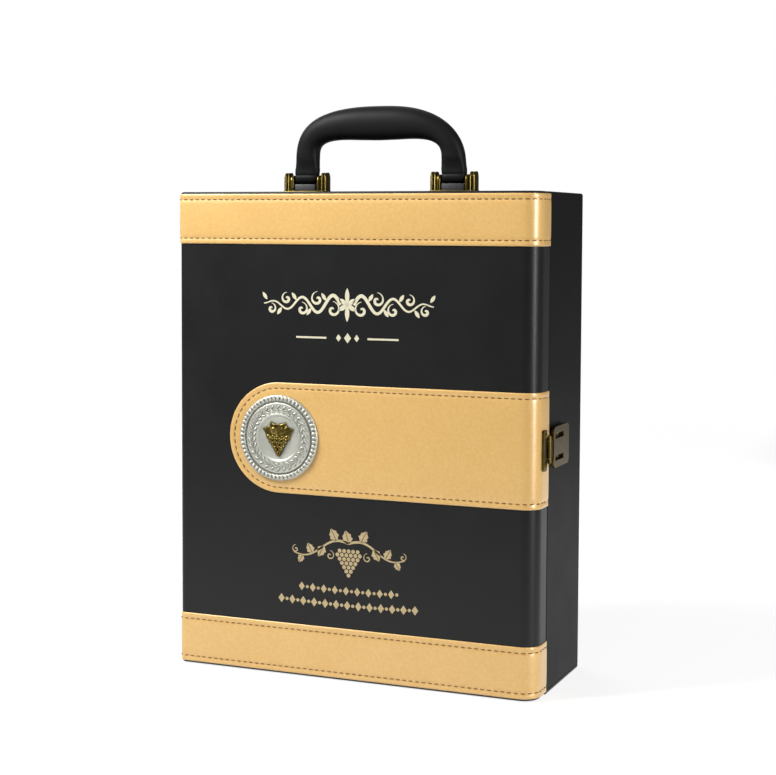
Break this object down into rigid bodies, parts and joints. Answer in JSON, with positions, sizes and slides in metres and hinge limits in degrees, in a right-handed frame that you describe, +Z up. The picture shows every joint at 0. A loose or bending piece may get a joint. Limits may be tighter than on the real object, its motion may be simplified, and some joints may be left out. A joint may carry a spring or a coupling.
{
  "type": "wine presentation box",
  "caption": "Upright leather-covered carrying box for wine bottles, with a hinged front lid, side latch, swinging top handle and a lined inside with bottle bays.",
  "frame": {"origin": "centre of the underside of the base, under the closed box", "axes": "+X to the right as seen from the front, +Y from the front lid to the back, +Z up"},
  "size_m": [0.2864, 0.1155, 0.414],
  "materials": {
    "black_leather": "fine-grained black leather, satin",
    "gold_leather": "smooth gold leather, soft sheen",
    "board": "plain fibreboard, matt",
    "flocked_lining": "short flock, matt",
    "padded_lining": "soft quilted lining, satin",
    "antique_brass": "antique, dark in the recesses",
    "silver_plate": "antique silver, satin",
    "saddle_black": "matt",
    "steel": "plain"
  },
  "bodies": {
    "case": {"case_leather": "black_leather", "case_base_panel": "black_leather", "case_lining": "flocked_lining", "case_left_board": "board", "case_right_board": "board", "case_top_board": "board", "case_bottom_board": "board", "case_back_board": "board", "bottle_bed": "flocked_lining", "divider_left": "flocked_lining", "divider_right": "flocked_lining", "neck_rest": "flocked_lining", "handle_bracket_left": "antique_brass", "handle_bracket_right": "antique_brass", "handle_saddle_left": "saddle_black", "handle_saddle_right": "saddle_black", "handle_pin_left": "steel", "handle_pin_right": "steel", "handle_bracket_screws": "steel", "latch_catch_plate": "antique_brass", "hinge_case_leaf_lower": "antique_brass", "hinge_case_leaf_upper": "antique_brass", "hinge_pin_lower": "antique_brass", "hinge_pin_upper": "antique_brass"},
    "lid": {"lid_leather": "black_leather", "lid_lining": "flocked_lining", "lid_pad": "padded_lining", "lid_left_rail": "board", "lid_right_rail": "board", "lid_front_board": "board", "lid_top_rail": "board", "lid_bottom_rail": "board", "gold_band_top": "gold_leather", "gold_band_bottom": "gold_leather", "gold_tab": "gold_leather", "medallion": "silver_plate", "grape_bunch": "antique_brass", "latch_lid_plate": "antique_brass", "latch_pin": "steel", "hinge_lid_leaf_lower": "antique_brass", "hinge_lid_leaf_upper": "antique_brass"},
    "latch": {"latch_flap": "antique_brass"},
    "handle": {"handle_grip": "black_leather", "handle_eye_left": "steel", "handle_eye_right": "steel"}
  },
  "joints": [
    {"name": "lid_hinge", "type": "hinge", "parent": "case", "child": "lid", "pos_m": [-0.1409, -0.031, 0.175], "axis": [0, 0, -1], "range_deg": [0, 180]},
    {"name": "latch_hinge", "type": "hinge", "parent": "lid", "child": "latch", "pos_m": [0.141, -0.0383, 0.173], "axis": [0, 0, -1], "range_deg": [0, 120]},
    {"name": "handle_swing", "type": "hinge", "parent": "case", "child": "handle", "pos_m": [0, -0.005, 0.361], "axis": [1, 0, 0], "range_deg": [-85, 85]}
  ]
}
